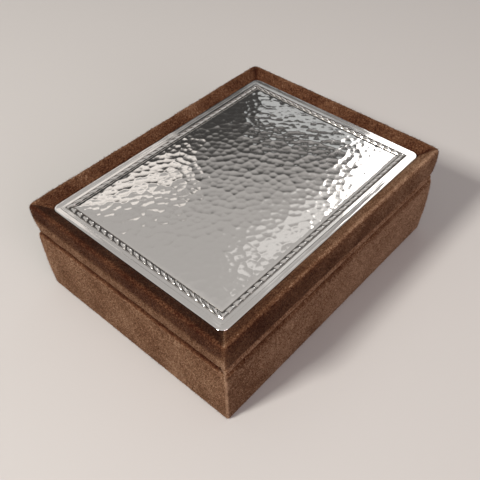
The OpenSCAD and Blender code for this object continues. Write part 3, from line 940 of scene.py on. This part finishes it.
def buildMirror():
    # silvered glass with a ground bevel: the visible face looks down into the case
    lowest, highest = low("mirror_glass"), high("mirror_glass")
    half = (highest - lowest)[:2] / 2
    drop, bevel, edge = mirrorLook["bevelDrop"], mirrorLook["bevel"], mirrorLook["edge"]
    reach = min(half)
    inner = bevel + (reach - bevel) * np.linspace(0, 1, 8) ** 1.2
    face = np.stack([-inner[::-1], np.full(8, lowest[2])], 1)
    slope = np.array([(-bevel + 0.05 * mm, lowest[2] + 0.002 * mm), (-bevel / 2, lowest[2] + drop / 2),
                      (-edge, lowest[2] + drop), (0, lowest[2] + drop + edge)])
    back = np.array([(0, highest[2] - edge), (-edge, highest[2])])
    backFace = np.stack([-np.linspace(2 * edge, reach, 6), np.full(6, highest[2])], 1)
    outline = np.concatenate([face, slope, back, backFace])
    radius = np.maximum(np.minimum(2 * mm, half.min() + outline[:, 0]), 0)
    points, _ = carry(outline, stationsRound(30, 30, 8), half, radius)
    shape = Shape()
    shape.grid(points, closeRows=True, mark=0.5)
    piece = shape.piece("mirror_bevelled_glass", mirrorSilvered, weld=0.01 * mm)
    piece.data.set_sharp_from_angle(angle=math.radians(8))
    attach(piece, "lid")
    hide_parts("mirror_glass")
    return piece


def buildMirrorFrame():
    # a padded ring: flat against the board, domed towards the case, mitred at its corners
    lowest, highest = low("mirror_frame"), high("mirror_frame")
    half = highest[:2]
    mirrorHalf = high("mirror_glass")[:2]
    width = half[0] - mirrorHalf[0] + 1.4 * mm
    glassFace = low("mirror_glass")[2] - 0.02 * mm
    dome = smoothLine([(0, highest[2]), (0, lowest[2] + 1.0 * mm), (-0.5 * mm, lowest[2]),
                       (-width / 2, lowest[2]), (-width + 0.6 * mm, lowest[2] + 0.1 * mm),
                       (-width, lowest[2] + 0.8 * mm), (-width, glassFace)], 26)
    rebate = np.array([(-width + 1.35 * mm, glassFace), (-width + 1.35 * mm, highest[2])])
    outline = np.concatenate([dome, rebate])
    radius = np.interp(outline[:, 0], [-width, 0], [2 * mm, 1 * mm])
    stations = stationsRound(150, 120, 8)
    points, normals = carry(outline, stations, half, radius)
    corner = np.abs(np.abs(points[..., 0]) - half[0] - (np.abs(points[..., 1]) - half[1])) / math.sqrt(2)
    fold = np.exp(-(corner / (0.8 * mm)) ** 1.5)
    seen = np.arange(len(outline)) < len(dome) - 1
    points = points - normals * (fold * seen * 0.3 * mm)[..., None]
    puff = ripples(points, 8 * mm, 91)
    points = points + normals * (puff * seen * 0.06 * mm)[..., None]
    points[..., :2] = np.clip(points[..., :2], -half, half)
    points[..., 2] = np.clip(points[..., 2], lowest[2], highest[2])
    shape = Shape()
    # painted shade in the folds at the mitres
    shape.grid(points, closeRows=True, closeColumns=True, mark=0.5 - 0.3 * fold + 0.1 * puff)
    piece = shape.piece("mirror_padded_frame", liningVelvet, weld=0.004 * mm)
    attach(piece, "lid")
    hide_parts("mirror_frame")
    return piece


mirrorGlass = buildMirror()
mirrorFrame = buildMirrorFrame()
print("linings and mirror made")


tray = {
    "channels": 5,
    "channelRadius": 9.9 * mm,
    "endWall": 3.0 * mm,
    "sideLand": 1.2 * mm,
    "troughRadius": 18 * mm,
    "troughRise": 10 * mm,
    "soft": 0.35 * mm,        # rounding where the hollows meet the top
    "flock": 0.8 * mm,
}


def buildTray():
    lowest, highest = low("tray_velvet"), high("tray_velvet")
    halfX, halfY = highest[:2]
    step = 0.42 * mm
    edgeIn = np.array([0, 0.12, 0.35, 0.8]) * mm

    def spread(half):
        inner = half - edgeIn[-1]
        count = int(2 * inner / step)
        middle = np.linspace(-inner, inner, count)
        return np.concatenate([-half + edgeIn[:-1], middle, (half - edgeIn[:-1])[::-1]])

    x, y = np.meshgrid(spread(halfX), spread(halfY), indexing="ij")
    top = highest[2]
    pitch = 2 * (halfX - tray["sideLand"]) / tray["channels"]
    # an odd number of channels has one in the middle, an even number has a ridge there
    shift = 0.5 * (tray["channels"] % 2 == 0)
    middle = (np.round(x / pitch - shift) + shift) * pitch
    middle = np.clip(middle, -(tray["channels"] - 1) / 2 * pitch, (tray["channels"] - 1) / 2 * pitch)
    depth = np.sqrt(np.clip(tray["channelRadius"] ** 2 - (x - middle) ** 2, 0, None))
    wallAt = halfY - tray["endWall"]
    wall = np.clip((wallAt - np.abs(y)) / (1.1 * mm), 0, 1)
    depth = depth * np.sqrt(1 - (1 - wall) ** 2)
    trough = np.sqrt(np.clip(tray["troughRadius"] ** 2 - y ** 2, 0, None)) - tray["troughRise"]
    ends = np.clip((halfX - 2.5 * mm - np.abs(x)) / (1.0 * mm), 0, 1)
    trough = np.clip(trough, 0, None) * np.sqrt(1 - (1 - ends) ** 2)
    hollow = np.maximum(depth, trough)
    hollow = np.maximum(0, hollow - tray["soft"] * np.exp(-hollow / tray["soft"]))
    fromEdge = np.minimum(halfX - np.abs(x), halfY - np.abs(y))
    roundOff = 0.8 * mm * (1 - np.sqrt(1 - (1 - np.clip(fromEdge / (0.8 * mm), 0, 1)) ** 2))
    z = top - hollow - roundOff + 0.03 * mm * ripples(np.stack([x, y, x * 0], 2), 7 * mm, 71) - 0.03 * mm
    surface = np.stack([x, y, z], 2)
    shape = Shape()
    # painted shade: the deeper the hollow, the darker the velvet
    tone = 0.52 - 0.02 * hollow / mm + 0.14 * ripples(surface, 22 * mm, 72)
    shape.grid(surface, mark=tone)
    # the upright sides: the rim of the top drawn down to the foot in a few steps, and turned in
    rows, columns = x.shape
    index = np.arange(rows * columns).reshape(rows, columns)
    loop = np.concatenate([index[:, 0], index[-1, 1:], index[-2::-1, -1], index[0, -2:0:-1]])
    rim = surface.reshape(-1, 3)[loop]
    levels = np.linspace(1, 0, 8)[1:]
    drops = [np.column_stack([rim[:, :2], lowest[2] + (rim[:, 2] - lowest[2]) * f]) for f in levels]
    inward = 1 - 1.6 * mm / np.array([halfX, halfY])
    drops.append(np.column_stack([rim[:, :2] * inward, np.full(len(rim), lowest[2])]))
    drops.append(np.column_stack([rim[:, :2] * inward, np.full(len(rim), lowest[2] + 0.3 * mm)]))
    sides = np.stack([rim, *drops])
    shape.grid(sides, closeColumns=True, mark=0.42)
    piece = shape.piece("tray_velvet_covering", trayVelvet, weld=0.004 * mm)
    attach(piece, "tray")
    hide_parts("tray_velvet")
    return piece


trayCovering = buildTray()

tab = {"loop": 0.75 * mm, "sheet": 0.22 * mm, "width": 10 * mm}


def buildTab(side):
    # a ribbon folded into a loop: up from the slot, round, and down again beside itself
    node = f"{side}_tray_tab"
    lowest, highest = low(node), high(node)
    middle = (lowest + highest) / 2
    loop = tab["loop"]
    rise = highest[2] - loop
    legs = np.linspace(lowest[2] + 3 * mm, rise, 16)
    opening = np.clip((legs - lowest[2] - 5 * mm) / (rise - lowest[2] - 5 * mm), 0, 1)
    pinch = 0.18 * mm + (loop - 0.18 * mm) * opening ** 1.5
    up = np.stack([pinch, legs], 1)
    over = arcLine((0, rise), loop, 0, 180, 14)[1:-1]
    down = np.stack([-pinch[::-1], legs[::-1]], 1)
    line = np.concatenate([up, over, down])
    width = np.linspace(-tab["width"] / 2, tab["width"] / 2, 22)
    points = np.empty((len(line), len(width), 3))
    points[..., 0] = middle[0] + line[:, :1]
    points[..., 1] = width[None] + middle[1]
    points[..., 2] = line[:, 1:2] - 0.12 * mm * (np.abs(width[None]) / (5 * mm)) ** 3
    shape = Shape()
    shape.grid(points, mark=0.5)
    piece = shape.piece(f"{side}_ribbon_tab", ribbon, turnOut=False)
    skin = piece.modifiers.new("thickness", "SOLIDIFY")
    skin.thickness = tab["sheet"]
    skin.offset = 0
    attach(piece, "tray")
    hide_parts(node)
    return piece


ribbonTabs = [buildTab(side) for side in ("left", "right")]


def buildUnderside():
    lowest, highest = low("underside_cloth"), high("underside_cloth")
    points, marks = slabShape((lowest, highest), round3=0.2 * mm, puff=0.0, cornerRound=1 * mm, rings=14,
                              uneven=0.0, seed=90)
    shape = Shape()
    shape.grid(points, closeRows=True, mark=marks)
    piece = shape.piece("underside_woven_cloth", undersideCloth, weld=0.01 * mm)
    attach(piece, "base")
    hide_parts("underside_cloth")
    return piece


underside = buildUnderside()
print("tray made")


# finishes of the parts that stay as they are
finishes = {
    "birch": birch,
    "brass": brass,
    "steel": steel,
    "card": card,
    "silver": chasedSilver,
    "mirror": mirrorSilvered,
}
for entry in frame["record"]["subparts"]:
    part = nodes[entry["node"]]
    finish = finishes.get(entry["material_slot"])
    if finish is not None:
        part.data.materials.clear()
        part.data.materials.append(finish)
print("finishes given")


floorLook = {"size": 6.0, "shade": (0.52, 0.505, 0.485)}


def buildFloor():
    kit = MaterialKit("floor_paper", SpecularIORLevel=0.15)
    soft = kit.noise(kit.objectPlace(), 0.25, 2.0)
    shade = floorLook["shade"]
    kit.set(BaseColor=kit.mix(soft, shade, tuple(c * 0.95 for c in shade)), Roughness=0.9)
    half = floorLook["size"] / 2
    corners = np.array([[[-half, -half, 0], [-half, half, 0]], [[half, -half, 0], [half, half, 0]]])
    shape = Shape()
    shape.grid(corners)
    floor = shape.piece("floor", kit.material, turnOut=False)
    return floor


floor = buildFloor()


def wayTo(azimuth, elevation):
    # the direction to a place seen at this azimuth and height; azimuth 0 is towards -Y
    a, e = math.radians(azimuth), math.radians(elevation)
    return Vector((math.sin(a) * math.cos(e), -math.cos(a) * math.cos(e), math.sin(e)))


lights = {
    "key": {
        "azimuth": 78, "elevation": 43, "distance": 1.3,
        "size": (0.22, 0.22), "power": 18.0, "tint": (1.0, 0.965, 0.92),
    },
    "glint": {
        "azimuth": -68, "elevation": 40, "distance": 1.2,
        "size": (0.15, 0.30), "power": 0.30, "tint": (1.0, 0.98, 0.97),
    },
    "band": {
        "azimuth": -27, "elevation": 40, "distance": 1.3,
        "size": (0.46, 0.10), "power": 0.088, "tint": (1.0, 0.94, 0.89),
    },
    "streak": {
        "azimuth": -60, "elevation": 46.5, "distance": 1.3,
        "size": (0.42, 0.09), "roll": 42, "power": 0.032, "tint": (1.0, 0.99, 0.98),
    },
    "haze": {
        "azimuth": -60, "elevation": 33.5, "distance": 1.3,
        "size": (0.40, 0.10), "power": 0.058, "tint": (0.96, 0.99, 1.0),
    },
    "fill": {
        "azimuth": 165, "elevation": 32, "distance": 1.4,
        "size": (0.8, 0.8), "power": 9.0, "tint": (1.0, 0.84, 0.88),
    },
}


def buildLight(name, look):
    data = bpy.data.lights.new(name, "AREA")
    data.shape = "RECTANGLE"
    data.size, data.size_y = look["size"]
    data.energy = look["power"]
    data.color = look["tint"]
    lamp = bpy.data.objects.new(name, data)
    bpy.context.scene.collection.objects.link(lamp)
    way = wayTo(look["azimuth"], look["elevation"])
    lamp.location = way * look["distance"]
    turn = Quaternion((0, 0, 1), math.radians(look.get("roll", 0)))
    lamp.rotation_euler = (way.to_track_quat("Z", "Y") @ turn).to_euler()
    return lamp


lamps = [buildLight(name, look) for name, look in lights.items()]

skyLook = {
    # height in the sky as the sine of the elevation, and the light there
    "stops": [
        (0.0, 0.10), (0.53, 0.045), (0.595, 0.06), (0.645, 0.33), (0.69, 0.42), (0.78, 0.43), (1.0, 0.56),
    ],
    "tint": (1.0, 0.965, 0.94),
}


def buildSky():
    world = bpy.data.worlds.new("studio")
    bpy.context.scene.world = world
    world.use_nodes = True
    tree = world.node_tree
    tree.nodes.clear()
    place = tree.nodes.new("ShaderNodeTexCoord")
    parts = tree.nodes.new("ShaderNodeSeparateXYZ")
    ramp = tree.nodes.new("ShaderNodeValToRGB")
    light = tree.nodes.new("ShaderNodeBackground")
    output = tree.nodes.new("ShaderNodeOutputWorld")
    while len(ramp.color_ramp.elements) < len(skyLook["stops"]):
        ramp.color_ramp.elements.new(0.5)
    for element, (height, level) in zip(ramp.color_ramp.elements, skyLook["stops"]):
        element.position = height
        element.color = (*(level * c for c in skyLook["tint"]), 1)
    tree.links.new(place.outputs["Generated"], parts.inputs[0])
    tree.links.new(parts.outputs["Z"], ramp.inputs["Fac"])
    tree.links.new(ramp.outputs["Color"], light.inputs["Color"])
    tree.links.new(light.outputs[0], output.inputs["Surface"])
    return world


sky = buildSky()

cameraLook = {
    "azimuth": 131.5,
    "elevation": 45.8,
    "distance": 260 * mm,
    "aim": (7.5 * mm, 10.1 * mm, 21.3 * mm),
    "lens": 48.4,
    "roll": -0.5,
    "shiftX": -0.021,
}


def buildCamera():
    data = bpy.data.cameras.new("camera")
    data.lens = cameraLook["lens"]
    data.sensor_width = 36
    data.shift_x = cameraLook["shiftX"]
    data.clip_start = 0.01
    data.clip_end = 20
    camera = bpy.data.objects.new("camera", data)
    bpy.context.scene.collection.objects.link(camera)
    way = wayTo(cameraLook["azimuth"], cameraLook["elevation"])
    camera.location = Vector(cameraLook["aim"]) + way * cameraLook["distance"]
    roll = Quaternion((0, 0, 1), math.radians(cameraLook["roll"]))
    camera.rotation_euler = (way.to_track_quat("Z", "Y") @ roll).to_euler()
    bpy.context.scene.camera = camera
    return camera


camera = buildCamera()
bpy.context.scene.view_settings.view_transform = "Standard"
print("scene set")
